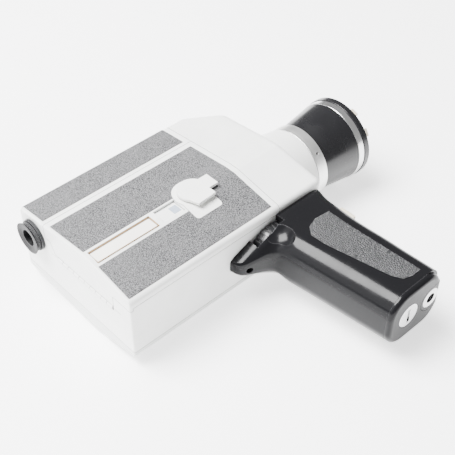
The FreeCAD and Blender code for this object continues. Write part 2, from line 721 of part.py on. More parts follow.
# ---- grip ---------------------------------------------------------------
def grip_front_points(offset):
    # The front of the grip is slightly hollow for the fingers.
    places = ((143.0, BOTTOM_Y), (140.0, -52.0), (139.3, -70.0), (140.4, -100.0), (141.2, GRIP_END_Y))
    return [Vec(x + offset, y, 0) for x, y in places]


def grip_form(offset=0.0, y_end=GRIP_END_Y):
    front = Part.BSplineCurve()
    front.interpolate(grip_front_points(offset))
    front = front.toShape()
    top_front = front.Vertexes[0].Point
    end_front = front.Vertexes[-1].Point
    top_rear = Vec(GRIP_REAR_TOP_X - offset, BOTTOM_Y, 0)
    end_rear = Vec(GRIP_REAR_END_X - offset, GRIP_END_Y, 0)
    outline = Part.Wire([front, Part.makeLine(end_front, end_rear),
                         Part.makeLine(end_rear, top_rear), Part.makeLine(top_rear, top_front)])
    half = GRIP_HALF + offset
    face = Part.Face(outline)
    face.translate(Vec(0, 0, -half))
    form = face.extrude(Vec(0, 0, 2 * half))
    return round_edges(form, GRIP_CORNER + offset, lambda e: runs_down_grip(e))


def runs_down_grip(edge):
    box = edge.BoundBox
    return box.ZLength < 0.1 and box.YLength > 40.0


def grip_end_face(offset):
    # The rounded outline that the grip has at its lower end, as one face.
    faces = [f for f in grip_form(offset).Faces if abs(f.CenterOfMass.y - GRIP_END_Y) < 0.01]
    return faces[0]


def tail_form():
    # The shoe behind the grip: tapered as seen from below, and swept into the grip.
    # It narrows down the grip until only the flat of the grip's rear face is left.
    side = [(69.8, BOTTOM_Y), (69.8, -44.2), (74.2, -47.4), (84.8, -50.4), (90.4, -58.0),
            (95.0, -74.0), (112.0, -74.0), (112.0, BOTTOM_Y)]
    slab = prism_z(side, -20, 20)
    slab = round_edges(slab, 3.0, lambda e: runs_along(e, "z") and e.BoundBox.XMax < 76)
    slab = round_edges(slab, 7.0, lambda e: runs_along(e, "z") and 80 < e.BoundBox.XMax < 92)
    right = [(69.0, 4.4), (75.6, 8.6), (84.0, 11.2), (96.0, 15.7), (106.0, GRIP_HALF), (112.0, GRIP_HALF)]
    left = [(x, -z) for x, z in reversed(right)]
    shoe = slab.common(prism_y(right + left, -75, BOTTOM_Y))
    upper = [(BOTTOM_Y, 20.0), (-47.0, 13.0), (-58.0, 9.0), (-74.0, 4.5)]
    lower = [(y, -z) for y, z in reversed(upper)]
    return shoe.common(prism_x(upper + lower, 60, 115))


def grip_pad_region():
    # Footprint of the leather-grained pad on one side of the grip, seen along Z.
    front = 160.0
    return [(118.5, -56.4), (111.4, -58.6), (107.2, -64.0), (107.6, -74.0), (115.6, -114.0),
            (118.6, -119.8), (124.0, -121.6), (front, -121.8), (front, -58.8), (127.0, -57.2)]


PAD_LAYER = grip_form(0.25).cut(grip_form(-0.8))


def grip_pad(side):
    region = prism_z(grip_pad_region(), 4.5, 30.0)
    pad = PAD_LAYER.common(region)
    if side < 0:
        pad = pad.mirror(Vec(0, 0, 0), Vec(0, 0, 1))
    return pad


RIGHT_PAD = grip_pad(1)
LEFT_PAD = grip_pad(-1)


def scoop():
    return Part.makeSphere(SCOOP_R, SCOOP_CENTRE)


def wheel_room():
    pocket = rod_y(WHEEL_R + 0.6, WHEEL_Y0 - 0.6, BOTTOM_Y + 1, WHEEL_X, 0)
    slot = block(84.5, 105.2, WHEEL_Y0 - 0.6, BOTTOM_Y + 1, 4.0, 20.0)
    return join([pocket, slot])


def battery_room():
    room = block(BATTERY_X0, BATTERY_X1, GRIP_END_Y - 1, BATTERY_TOP_Y, -BATTERY_HALF_Z, BATTERY_HALF_Z)
    return round_edges(room, BATTERY_CORNER, lambda e: runs_along(e, "y"))


def bush_land(radius):
    # Footprint of the fixed land round the tripod bush, which the cap goes round.
    return join([rod_y(radius, CAP_END_Y - 1, GRIP_END_Y + 0.1, TRIPOD_X, 0),
                 block(TRIPOD_X, 160, CAP_END_Y - 1, GRIP_END_Y + 0.1, -radius, radius)])


def end_plate():
    outline = grip_end_face(0.0)
    plate = outline.extrude(Vec(0, CAP_END_Y - GRIP_END_Y, 0))
    return round_edges(plate, 2.6, lambda e: e.BoundBox.YMax < CAP_END_Y + 0.01)


def grip_shell():
    shell = join([grip_form(), tail_form()])
    shell = join([shell, end_plate().common(bush_land(LAND_R))])
    shell = shell.cut(scoop())
    shell = shell.cut(wheel_room())
    shell = shell.cut(battery_room())
    switch_room = block(112.0, 133.6, -68.0, -47.0, -9.0, 9.0)
    shell = shell.cut(switch_room)
    trigger_way = block(130.0, 150.0, TRIGGER_Y0 - 0.35, TRIGGER_Y1 + 0.35,
                        -TRIGGER_HALF_Z - 0.35, TRIGGER_HALF_Z + 0.35)
    shell = shell.cut(trigger_way)
    shell = shell.cut(rod_y(4.5, CAP_END_Y - 1, GRIP_END_Y + 13.0, TRIPOD_X, 0))
    shell = shell.cut(rod_y(BUSH_R, CAP_END_Y - 1, CAP_END_Y + 1.4, TRIPOD_X, 0))
    shell = shell.cut(strap_hole())
    shell = shell.cut(rod_y(2.3, -60, -40, WHEEL_X, 0))
    shell = shell.cut(RIGHT_PAD)
    shell = shell.cut(LEFT_PAD)
    return shell


def strap_hole():
    return rod_y(STRAP_R, -60.0, BOTTOM_Y - 1.5, STRAP_X, -1.0)


def clamp_wheel():
    wheel = rod_y(WHEEL_R, WHEEL_Y0, WHEEL_Y1, WHEEL_X, 0)
    groove = block(WHEEL_X + WHEEL_R - 0.7, WHEEL_X + WHEEL_R + 2, WHEEL_Y0 - 1, WHEEL_Y1 + 1, -0.9, 0.9)
    wheel = ring_of_ticks(wheel, groove, Vec(WHEEL_X, 0, 0), Vec(0, 1, 0), 24)
    return wheel.cut(rod_y(2.0, -60, -30, WHEEL_X, 0))


def clamp_stud():
    return rod_y(2.0, -50.5, BOTTOM_Y + 1.7, WHEEL_X, 0)


def trigger():
    lever = block(134.4, 150.4, TRIGGER_Y0, TRIGGER_Y1, -TRIGGER_HALF_Z, TRIGGER_HALF_Z)
    lever = round_edges(lever, 1.4, lambda e: e.BoundBox.XMin > 150.0)
    stem = block(127.6, 134.6, -57.5, -53.5, -2.2, 2.2)
    flange = block(131.2, 133.0, -63.6, -48.6, -5.4, 5.4)
    return join([lever, stem, flange])


def trigger_switch():
    return block(112.0, 122.8, -62.0, -49.0, -5.0, 5.0)


def trigger_spring():
    # Square wire, wound round the trigger's stem.
    turns = 4
    length = 131.1 - 122.9
    wire = 0.6
    helix = Part.makeHelix((length - wire) / turns, length - wire, 3.5)
    half = wire / 2.0
    corners = [Vec(3.5 - half, 0, -half), Vec(3.5 + half, 0, -half), Vec(3.5 + half, 0, half),
               Vec(3.5 - half, 0, half)]
    profile = Part.makePolygon(corners + [corners[0]])
    coil = Part.Wire(helix.Edges).makePipeShell([profile], True, True)
    coil.rotate(Vec(0, 0, 0), Vec(0, 1, 0), 90)
    coil.translate(Vec(122.9 + half, -55.5, 0))
    return coil


def tripod_bush():
    bush = rod_y(4.5, CAP_END_Y + 0.2, GRIP_END_Y + 13.0, TRIPOD_X, 0)
    disc = rod_y(BUSH_R, CAP_END_Y, CAP_END_Y + 1.4, TRIPOD_X, 0)
    disc = round_edges(disc, 0.4, lambda e: e.BoundBox.YMax < CAP_END_Y + 0.01)
    return join([bush, disc]).cut(rod_y(TRIPOD_THREAD_R, CAP_END_Y - 1, CAP_END_Y + 11.0, TRIPOD_X, 0))


def battery_cap():
    plate = end_plate().cut(block(0, 300, GRIP_END_Y - 0.12, GRIP_END_Y + 1, -30, 30))
    plate = plate.cut(bush_land(LAND_R + 0.3))
    plug = block(BATTERY_X0 + 0.6, BATTERY_X1 - 2.9, GRIP_END_Y - 0.2, GRIP_END_Y + 3.0,
                 -BATTERY_HALF_Z + 0.6, BATTERY_HALF_Z - 0.6)
    plug = round_edges(plug, BATTERY_CORNER - 0.6, lambda e: runs_along(e, "y"))
    cap = join([plate, plug])
    cap = cap.cut(rod_y(COIN_R + 0.1, CAP_END_Y - 1, CAP_END_Y + 1.6, COIN_X, 0))
    return cap.cut(rod_y(2.6, CAP_END_Y - 1, GRIP_END_Y + 5, COIN_X, 0))


def coin_screw():
    head = rod_y(COIN_R, CAP_END_Y, CAP_END_Y + 1.5, COIN_X, 0)
    head = round_edges(head, 0.4, lambda e: e.BoundBox.YMax < CAP_END_Y + 0.01)
    stem = rod_y(2.5, CAP_END_Y + 1.4, GRIP_END_Y + 5.2, COIN_X, 0)
    bar = block(COIN_X - LOCK_BAR_REACH, COIN_X + LOCK_BAR_REACH,
                GRIP_END_Y + 3.4, GRIP_END_Y + 5.2, -3.0, 3.0)
    slot = block(COIN_X - 1.1, COIN_X + 1.1, CAP_END_Y - 1, CAP_END_Y + 1.0, -4.7, 4.7)
    return join([head, stem, bar]).cut(slot)


def battery_contacts():
    pieces = []
    for z in (-7.4, 7.4):
        pieces.append(block(104.2, 124.6, BATTERY_TOP_Y - 0.6, BATTERY_TOP_Y, z - 4.5, z + 4.5))
    return pieces


# ---- write every part ---------------------------------------------------
PARTS = (
    ("body_shell", body_shell), ("left_cover", left_cover),
    ("film_door", film_door), ("front_housing", housing_with_screw_holes),
    ("upper_panel", lambda: UPPER_PANEL), ("door_panel", lambda: DOOR_PANEL),
    ("left_upper_panel", lambda: LEFT_UPPER_PANEL),
    ("left_lower_panel", lambda: LEFT_LOWER_PANEL), ("latch_plate", lambda: LATCH_PLATE),
    ("name_plate", name_plate), ("film_window", film_window), ("hinge_pin", hinge_pin),
    ("cover_screws", lambda: Part.makeCompound(cover_screws())),
    ("housing_screws", lambda: Part.makeCompound(housing_screws())),
    ("lens_tube", lens_tube), ("rear_lens_cell", rear_lens_cell),
    ("rear_element", rear_element), ("iris_plate", iris_plate),
    ("zoom_ring", zoom_ring), ("zoom_grub_screw", zoom_grub_screw),
    ("focus_barrel", focus_barrel), ("trim_ring", trim_ring),
    ("filter_ring", filter_ring), ("front_lugs", front_lugs),
    ("front_element", front_element), ("eyepiece_base", eyepiece_base),
    ("dioptre_ring", dioptre_ring), ("eyecup", eyecup), ("eye_lens", eye_lens),
    ("finder_tube", finder_tube), ("finder_relay_lens", finder_relay_lens),
    ("finder_prism", finder_prism), ("film_gate", film_gate),
    ("film_claw", film_claw), ("shutter_disc", shutter_disc),
    ("shutter_shaft", shutter_shaft), ("shutter_gear", shutter_gear),
    ("drive_motor", drive_motor),
    ("motor_shaft", motor_shaft), ("drive_pinion", drive_pinion),
    ("drive_worm", drive_worm), ("motor_clip", motor_clip),
    ("takeup_spindle", takeup_spindle),
    ("circuit_board", circuit_board), ("latch_catch", latch_catch),
    ("latch_handle", latch_handle), ("latch_bolt", latch_bolt),
    ("grip_shell", grip_shell), ("right_grip_pad", lambda: RIGHT_PAD),
    ("left_grip_pad", lambda: LEFT_PAD), ("clamp_wheel", clamp_wheel),
    ("clamp_stud", clamp_stud), ("trigger", trigger),
    ("trigger_switch", trigger_switch), ("trigger_spring", trigger_spring),
    ("tripod_bush", tripod_bush), ("battery_cap", battery_cap),
    ("coin_screw", coin_screw),
    ("battery_contacts", lambda: Part.makeCompound(battery_contacts())),
)

for part_name, make in PARTS:
    shape = make()
    solids = len(shape.Solids)
    box = shape.BoundBox
    print("%-18s solids %d valid %s  x %.1f..%.1f y %.1f..%.1f z %.1f..%.1f vol %.0f" % (
        part_name, solids, shape.isValid(), box.XMin, box.XMax, box.YMin, box.YMax,
        box.ZMin, box.ZMax, shape.Volume))
    export(shape, part_name)
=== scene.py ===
import bpy
import bmesh
import math
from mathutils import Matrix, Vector


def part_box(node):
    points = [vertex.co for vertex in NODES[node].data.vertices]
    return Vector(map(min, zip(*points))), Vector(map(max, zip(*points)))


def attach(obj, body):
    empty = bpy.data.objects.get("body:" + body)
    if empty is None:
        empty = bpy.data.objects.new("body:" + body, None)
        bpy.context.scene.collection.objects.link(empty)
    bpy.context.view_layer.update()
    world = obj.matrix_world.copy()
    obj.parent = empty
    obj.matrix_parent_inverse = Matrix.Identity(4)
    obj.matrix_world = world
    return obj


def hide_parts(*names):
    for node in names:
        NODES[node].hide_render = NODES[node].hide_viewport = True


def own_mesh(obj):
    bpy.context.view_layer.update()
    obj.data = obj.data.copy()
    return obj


# Looks of a cine camera lying on its left side. Metres, in the row frame:
# +X towards the lens, +Y towards the camera's own top, +Z out of the film door.
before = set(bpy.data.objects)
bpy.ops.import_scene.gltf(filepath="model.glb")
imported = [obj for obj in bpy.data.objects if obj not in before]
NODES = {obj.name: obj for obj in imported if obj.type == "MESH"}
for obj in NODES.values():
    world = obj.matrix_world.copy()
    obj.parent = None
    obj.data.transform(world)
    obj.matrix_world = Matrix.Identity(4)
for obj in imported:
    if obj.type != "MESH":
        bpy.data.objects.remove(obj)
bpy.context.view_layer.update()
MM = 0.001

# ---- the camera that looks at it, and the light -------------------------
EYE = Vector((-0.23512, -0.30556, 0.40927))
AIM_AZIMUTH = -43.0
AIM_DOWN = 43.75
LENS_MM = 74.77

FLOOR_SIZE = 6.0
SKY_STRENGTH = 0.45
FLOOR_GLOW = 1.7


# ---- node helpers -------------------------------------------------------
class Graph:
    """A material's node tree, with short calls that return output sockets."""

    def __init__(self, name):
        self.material = bpy.data.materials.new(name)
        self.material.use_nodes = True
        self.tree = self.material.node_tree
        self.shader = self.tree.nodes["Principled BSDF"]
        self.place = self.add("ShaderNodeTexCoord").outputs["Object"]

    def add(self, kind, **settings):
        node = self.tree.nodes.new(kind)
        for key, value in settings.items():
            setattr(node, key, value)
        return node

    def link(self, source, target):
        self.tree.links.new(source, target)

    def crevice_shade(self, reach):
        """1 deep in a seam or under an overhang, 0 on open surfaces: the mask for painted shade."""
        node = self.add("ShaderNodeAmbientOcclusion", samples=8)
        node.inputs["Distance"].default_value = reach
        return self.ramp(node.outputs["AO"], 0.42, 0.88, 1.0, 0.0)

    def noise(self, per_metre, detail=3.0, stretch=(1.0, 1.0, 1.0), rough=0.5):
        node = self.add("ShaderNodeTexNoise")
        node.inputs["Scale"].default_value = per_metre
        node.inputs["Detail"].default_value = detail
        node.inputs["Roughness"].default_value = rough
        self.link(self.stretched(stretch), node.inputs["Vector"])
        return node.outputs["Fac"]

    def cells(self, per_metre, feature="F1", stretch=(1.0, 1.0, 1.0)):
        node = self.add("ShaderNodeTexVoronoi", feature=feature)
        node.inputs["Scale"].default_value = per_metre
        self.link(self.stretched(stretch), node.inputs["Vector"])
        return node.outputs["Distance"]

    def stretched(self, stretch):
        if stretch == (1.0, 1.0, 1.0):
            return self.place
        node = self.add("ShaderNodeMapping")
        node.inputs["Scale"].default_value = stretch
        self.link(self.place, node.inputs["Vector"])
        return node.outputs["Vector"]

    def ramp(self, factor, low, high, out_low=0.0, out_high=1.0):
        node = self.add("ShaderNodeMapRange")
        node.inputs["From Min"].default_value = low
        node.inputs["From Max"].default_value = high
        node.inputs["To Min"].default_value = out_low
        node.inputs["To Max"].default_value = out_high
        self.link(factor, node.inputs["Value"])
        return node.outputs["Result"]

    def math(self, operation, a, b):
        node = self.add("ShaderNodeMath", operation=operation)
        for socket, value in zip(node.inputs, (a, b)):
            if isinstance(value, (int, float)):
                socket.default_value = value
            else:
                self.link(value, socket)
        return node.outputs["Value"]

    def mix(self, factor, first, second):
        node = self.add("ShaderNodeMix", data_type="RGBA")
        self.link(factor, node.inputs["Factor"])
        for socket, value in ((node.inputs[6], first), (node.inputs[7], second)):
            if isinstance(value, tuple):
                socket.default_value = (*value, 1.0)
            else:
                self.link(value, socket)
        return node.outputs[2]

    def edge(self, radius):
        """1 on worn corners, 0 on flat stretches."""
        soft = self.add("ShaderNodeBevel", samples=4)
        soft.inputs["Radius"].default_value = radius
        geometry = self.add("ShaderNodeNewGeometry")
        dot = self.add("ShaderNodeVectorMath", operation="DOT_PRODUCT")
        self.link(soft.outputs["Normal"], dot.inputs[0])
        self.link(geometry.outputs["Normal"], dot.inputs[1])
        return self.ramp(dot.outputs["Value"], 0.985, 0.9)

    def bump(self, height, depth, strength=1.0, soften=0.0):
        node = self.add("ShaderNodeBump")
        node.inputs["Strength"].default_value = strength
        node.inputs["Distance"].default_value = depth
        self.link(height, node.inputs["Height"])
        if soften > 0.0:
            bevel = self.add("ShaderNodeBevel", samples=4)
            bevel.inputs["Radius"].default_value = soften
            self.link(bevel.outputs["Normal"], node.inputs["Normal"])
        self.link(node.outputs["Normal"], self.shader.inputs["Normal"])

    def set(self, **values):
        names = {"colour": "Base Color", "rough": "Roughness", "metal": "Metallic", "coat": "Coat Weight",
                 "coat_rough": "Coat Roughness", "ior": "IOR", "clear": "Transmission Weight",
                 "specular": "Specular IOR Level"}
        for key, value in values.items():
            socket = self.shader.inputs[names[key]]
            if isinstance(value, bpy.types.NodeSocket):
                self.link(value, socket)
            elif isinstance(value, tuple):
                socket.default_value = (*value, 1.0)
            else:
                socket.default_value = value
        return self


# ---- materials ----------------------------------------------------------
def enamel(name, tone, speck=0.04):
    """Satin paint on a die casting: faint mottling, dust specks, rubbed corners and painted shade in seams.
    """
    g = Graph(name)
    cloud = g.noise(60.0, 4.0)
    dirty = tuple(c * 0.93 for c in tone)
    base = g.mix(g.ramp(cloud, 0.35, 0.7), tone, dirty)
    specks = g.ramp(g.cells(900.0), speck, speck * 0.4)
    base = g.mix(g.math("MULTIPLY", specks, 0.5), base, tuple(c * 0.6 for c in tone))
    base = g.mix(g.math("MULTIPLY", g.edge(0.35 * MM), 0.35), base, (0.50, 0.50, 0.49))
    # painted shade: seams and the hollows under overhangs, such as under the latch handle, are darkened
    # towards near black
    g.set(colour=g.mix(g.math("MULTIPLY", g.crevice_shade(1.1 * MM), 0.9), base, (0.10, 0.10, 0.095)))
    g.set(rough=g.ramp(g.noise(400.0, 3.0), 0.3, 0.7, 0.36, 0.5), coat=0.15, coat_rough=0.3)
    g.bump(g.noise(2600.0, 3.0), 0.02 * MM, 0.5, 0.25 * MM)
    return g.material


def leatherette(name, high, low, per_metre=2250.0):
    """Finely pebbled cloth leather: pale worn tops over dark creases."""
    g = Graph(name)
    wobble = g.noise(per_metre * 0.9, 2.0)
    pebble = g.cells(per_metre, "SMOOTH_F1")
    small = g.cells(per_metre * 2.1)
    height = g.math("SUBTRACT", g.math("MULTIPLY", wobble, 0.8), g.math("MULTIPLY", pebble, 1.0))
    height = g.math("SUBTRACT", height, g.math("MULTIPLY", small, 0.35))
    tops = g.ramp(height, -0.35, 0.12)
    base = g.mix(tops, low, high)
    patch = g.ramp(g.noise(45.0, 4.0), 0.4, 0.65)
    base = g.mix(g.math("MULTIPLY", patch, 0.3), base, tuple((a + b) / 2 for a, b in zip(high, low)))
    g.set(colour=base, rough=g.ramp(tops, 0.0, 1.0, 0.7, 0.45), specular=0.4)
    g.bump(height, 0.14 * MM, 0.8)
    return g.material


def glossy_black(name, tone=(0.006, 0.006, 0.0068), rough=0.14, dust_level=0.15, shine=0.12):
    """Polished black moulding with handling smears, dust and greyed corners."""
    g = Graph(name)
    dust = g.ramp(g.cells(800.0), 0.06, 0.03)
    marks = g.math("MULTIPLY", dust, dust_level)
    worn = g.math("MAXIMUM", marks, g.math("MULTIPLY", g.edge(0.4 * MM), 0.22))
    g.set(colour=g.mix(worn, tone, (0.20, 0.20, 0.21)), specular=shine, coat=0.06, coat_rough=0.08)
    smear = g.ramp(g.noise(70.0, 5.0), 0.35, 0.7, rough, rough + 0.14)
    g.set(rough=g.math("ADD", smear, g.math("MULTIPLY", marks, 0.3)))
    g.bump(g.noise(500.0, 2.0), 0.03 * MM, 0.3, 0.3 * MM)
    return g.material


def grained_black(name):
    """Black hide-grained plastic on the sides of the grip."""
    g = Graph(name)
    crease = g.cells(900.0, "DISTANCE_TO_EDGE", (1.0, 0.75, 1.0))
    fine = g.noise(2400.0, 3.0)
    height = g.math("ADD", g.ramp(crease, 0.0, 0.25), g.math("MULTIPLY", fine, 0.3))
    g.set(colour=g.mix(g.ramp(crease, 0.0, 0.2), (0.005, 0.005, 0.006), (0.048, 0.048, 0.05)))
    g.set(rough=g.ramp(fine, 0.3, 0.7, 0.32, 0.5), specular=0.5)
    g.bump(height, 0.22 * MM, 1.0)
    return g.material


def matt_black(name, tone=(0.02, 0.02, 0.021), rough=0.5):
    g = Graph(name)
    grain = g.noise(1800.0, 3.0)
    worn = g.math("MULTIPLY", g.edge(0.3 * MM), 0.4)
    base = g.mix(g.ramp(grain, 0.3, 0.7), tone, tuple(c * 1.6 for c in tone))
    g.set(colour=g.mix(worn, base, (0.35, 0.35, 0.36)), specular=0.15)
    g.set(rough=g.ramp(grain, 0.3, 0.7, rough - 0.1, rough + 0.1))
    g.bump(grain, 0.03 * MM, 0.5, 0.2 * MM)
    return g.material


def turned_metal(name, tone, rough, lathe=True):
    """Bare metal with fine tool marks that run round the lens axis, or along the part, and painted shade in
    its slots and seams.
    """
    g = Graph(name)
    stretch = (1.0, 0.02, 0.02) if lathe else (0.04, 1.0, 1.0)
    marks = g.noise(2200.0, 3.0, stretch)
    cloud = g.noise(90.0, 4.0)
    base = g.mix(g.ramp(cloud, 0.35, 0.7), tone, tuple(c * 0.88 for c in tone))
    # painted shade: slots and seams, such as the coin screw's slot, are darkened towards near black
    painted_shade = g.math("MULTIPLY", g.crevice_shade(1.3 * MM), 0.85)
    g.set(colour=g.mix(painted_shade, base, (0.04, 0.038, 0.035)), metal=1.0)
    g.set(rough=g.ramp(marks, 0.3, 0.7, rough * 0.8, rough * 1.25))
    g.bump(marks, 0.01 * MM, 0.4, 0.2 * MM)
    return g.material


def ivory(name):
    g = Graph(name)
    cloud = g.noise(150.0, 3.0)
    g.set(colour=g.mix(g.ramp(cloud, 0.3, 0.7), (0.74, 0.68, 0.55), (0.66, 0.59, 0.46)))
    g.set(rough=g.ramp(cloud, 0.3, 0.7, 0.32, 0.45), coat=0.2)
    g.bump(g.noise(1500.0, 2.0), 0.02 * MM, 0.4, 0.3 * MM)
    return g.material


def coated_glass(name, tint):
    g = Graph(name)
    film = g.ramp(g.noise(30.0, 2.0), 0.3, 0.7, 0.02, 0.06)
    g.set(colour=tint, clear=1.0, ior=1.52, rough=film, coat=1.0, coat_rough=0.02)
    return g.material


def window_pane(name):
    g = Graph(name)
    cloud = g.noise(300.0, 2.0)
    g.set(colour=g.mix(g.ramp(cloud, 0.3, 0.7), (0.30, 0.36, 0.46), (0.40, 0.45, 0.53)))
    g.set(rough=g.ramp(cloud, 0.3, 0.7, 0.1, 0.2), coat=1.0, coat_rough=0.04)
    g.bump(cloud, 0.02 * MM, 0.3)
    return g.material


def phenolic(name):
    g = Graph(name)
    weave = g.noise(900.0, 2.0, (1.0, 0.2, 1.0))
    g.set(colour=g.mix(g.ramp(weave, 0.3, 0.7), (0.30, 0.17, 0.06), (0.42, 0.26, 0.11)))
    g.set(rough=g.ramp(weave, 0.3, 0.7, 0.4, 0.6))
    g.bump(weave, 0.02 * MM, 0.4)
    return g.material


def dress_nodes():
    paint = enamel("paint", (0.87, 0.875, 0.86))
    cover = enamel("cover_paint", (0.70, 0.71, 0.70))
    white = enamel("white_paint", (0.90, 0.90, 0.88), 0.02)
    cloth = leatherette("leatherette", (0.25, 0.25, 0.255), (0.018, 0.018, 0.02))
    gloss = glossy_black("grip_plastic")
    lens_black = glossy_black("lens_black", (0.006, 0.006, 0.007), 0.2, 0.06, 0.5)
    grain = grained_black("grip_leather")
    matt = matt_black("black_plastic")
    # black rubber, made darker still as painted shade for a deeper bowl than the eyecup mesh has
    rubber_and_bowl_shade = matt_black("eyecup_black_and_bowl_shade", (0.005, 0.005, 0.0055), 0.45)
    steel = turned_metal("steel", (0.62, 0.62, 0.62), 0.3, False)
    satin = turned_metal("satin_metal", (0.94, 0.94, 0.93), 0.38)
    chrome = turned_metal("chrome", (0.82, 0.82, 0.82), 0.18)
    brass = turned_metal("brass", (0.75, 0.55, 0.25), 0.25)
    plate = enamel("plate_metal", (0.94, 0.91, 0.85), 0.01)
    # painted reflection: the copper colour of the recess walls stands in for a warm reflection at the name
    # plate's inner edge
    warm_reflection_metal = turned_metal("plate_edge", (0.62, 0.40, 0.22), 0.4, False)
    glass = coated_glass("lens_glass", (0.86, 0.84, 0.95))
    looks = {
        paint: ("body_shell", "film_door", "front_housing"),
        cover: ("left_cover",),
        white: ("latch_plate", "latch_handle"),
        cloth: ("upper_panel", "door_panel", "left_upper_panel", "left_lower_panel"),
        gloss: ("grip_shell", "battery_cap"),
        lens_black: ("clamp_wheel", "focus_barrel", "filter_ring", "lens_tube", "rear_lens_cell"),
        grain: ("right_grip_pad", "left_grip_pad"),
        rubber_and_bowl_shade: ("eyecup",),
        matt: ("eyepiece_base", "dioptre_ring", "trigger_switch", "iris_plate",
               "finder_tube"),
        satin: ("zoom_ring",),
        chrome: ("trim_ring", "coin_screw", "tripod_bush"),
        ivory("ivory_plastic"): ("trigger", "front_lugs"),
        glass: ("front_element", "rear_element", "eye_lens", "finder_relay_lens", "finder_prism"),
        window_pane("window_glass"): ("film_window",),
        plate: ("name_plate",),
        warm_reflection_metal: (),
        brass: ("drive_pinion", "drive_worm", "shutter_gear", "takeup_spindle", "battery_contacts"),
        phenolic("board"): ("circuit_board",),
        steel: ("hinge_pin", "cover_screws", "housing_screws", "zoom_grub_screw", "film_gate", "film_claw",
                "shutter_disc", "shutter_shaft", "drive_motor", "motor_shaft", "motor_clip", "latch_catch",
                "latch_bolt", "clamp_stud", "trigger_spring"),
    }
    for material, names in looks.items():
        for name in names:
            node = NODES[name]
            node.data.materials.clear()
            node.data.materials.append(material)
    return {material.name.split(".")[0]: material for material in looks}


LOOKS = dress_nodes()


# ---- mesh helpers -------------------------------------------------------
def add_mesh(name, vertices, faces, sharp=32.0):
    mesh = bpy.data.meshes.new(name)
    mesh.from_pydata(vertices, [], faces)
    bm = bmesh.new()
    bm.from_mesh(mesh)
    bmesh.ops.recalc_face_normals(bm, faces=bm.faces)
    bm.to_mesh(mesh)
    bm.free()
    piece = bpy.data.objects.new(name, mesh)
    bpy.context.scene.collection.objects.link(piece)
    shade(mesh, sharp)
    return piece


def shade(mesh, sharp):
    mesh.polygons.foreach_set("use_smooth", [True] * len(mesh.polygons))
    mesh.set_sharp_from_angle(angle=math.radians(sharp))


def loft(name, rings, sharp=32.0):
    """A closed solid through rings that all have the same number of points."""
    count = len(rings[0])
    vertices = [point for ring in rings for point in ring]
    faces = []
    for level in range(len(rings) - 1):
        for k in range(count):
            a = level * count + k
            b = level * count + (k + 1) % count
            faces.append((a, b, b + count, a + count))
    faces.append(tuple(reversed(range(count))))
    last = (len(rings) - 1) * count
    faces.append(tuple(last + k for k in range(count)))
    return add_mesh(name, vertices, faces, sharp)


def carve(piece, tool, operation="DIFFERENCE"):
    """Applies one boolean to a piece's mesh and throws the tool away."""
    step = piece.modifiers.new("carve", "BOOLEAN")
    step.solver = "EXACT"
    step.operation = operation
    step.object = tool
    graph = bpy.context.evaluated_depsgraph_get()
    result = bpy.data.meshes.new_from_object(piece.evaluated_get(graph))
    piece.modifiers.clear()
    piece.data = result
    bpy.data.objects.remove(tool)


def circle(radius, count, start=0.0):
    turns = [start + 2 * math.pi * k / count for k in range(count)]
    return [(radius * math.cos(t), radius * math.sin(t)) for t in turns]


def rod_y_tool(radius, y0, y1, x, z, count=48):
    rings = [[(x + u, y, z + v) for u, v in circle(radius, count)] for y in (y0, y1)]
    return loft("tool", rings)


def box_tool(low, high):
    x0, y0, z0 = low
    x1, y1, z1 = high
    rings = [[(x0, y, z0), (x1, y, z0), (x1, y, z1), (x0, y, z1)] for y in (y0, y1)]
    return loft("tool", rings)


def ball_tool(radius, centre, rows=40, columns=80):
    rings = []
    for row in range(1, rows):
        tilt = math.pi * row / rows
        level = centre[1] - radius * math.cos(tilt)
        ring = circle(radius * math.sin(tilt), columns)
        rings.append([(centre[0] + u, level, centre[2] + v) for u, v in ring])
    return loft("tool", rings)


# ---- the grip -----------------------------------------------------------
AXIS_Z = 28.1 * MM                 # height of the lens axis above the table
CAP_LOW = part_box("battery_cap")[0]
BODY_LOW_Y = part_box("body_shell")[0].y
END_Y = CAP_LOW.y + 3.4 * MM       # joint between the grip and its cap
REAR_TOP_X = 35.6 * MM             # rear line of the grip where it meets the body
REAR_SLOPE = 0.1096
TAIL_REACH = 19.9 * MM
TAIL_DEPTH = 10.3 * MM
TAIL_SOFTNESS = 1.6 * MM
HALF = 17.9 * MM
CORNER = 13.0 * MM
END_ROUND = 2.6 * MM               # soft edge round the end of the grip
LAND_R = 8.2 * MM
PAST_THE_GRIP = 30 * MM            # a reach that is sure to clear the front of the grip
SCOOP_R = 13.5 * MM                # hollow for the thumb, beside the clamp wheel
SCOOP_CENTRE = (37.5 * MM, -52.5 * MM, AXIS_Z + 25.0 * MM)
WHEEL_GAP = 0.6 * MM
SLOT_BEHIND = 14.5 * MM            # the slot that shows the wheel's rim
SLOT_AHEAD = 6.2 * MM
SLOT_LOW_Z = 4 * MM
SLOT_HIGH_Z = 20 * MM
SLOT_FLOOR_STEP = 0.07 * MM
BATTERY_X = (47.2 * MM, 73.4 * MM)
BATTERY_HALF = 15 * MM
BATTERY_CORNER = 10.5 * MM
SWITCH_X = (58.0 * MM, 79.6 * MM)  # room behind the trigger for its switch and spring
SWITCH_Y = (-68.0 * MM, -47.0 * MM)
SWITCH_HALF = 9 * MM
TRIGGER_WAY_X = (76.0 * MM, 96.0 * MM)
TRIGGER_WAY_Y = (-61.0 * MM, -50.0 * MM)
TRIGGER_HALF = 3.2 * MM
TRIGGER_SLACK = 0.35 * MM
BUSH_STEM_R = 4.5 * MM
BUSH_HEAD_R = 6.4 * MM
STRAP_X = 22.6 * MM
STRAP_R = 2.0 * MM
STUD_R = 2.3 * MM


def rear_x(depth):
    tail = TAIL_REACH / (1.0 + math.exp((depth - TAIL_DEPTH) / TAIL_SOFTNESS))
    return REAR_TOP_X + REAR_SLOPE * depth - tail


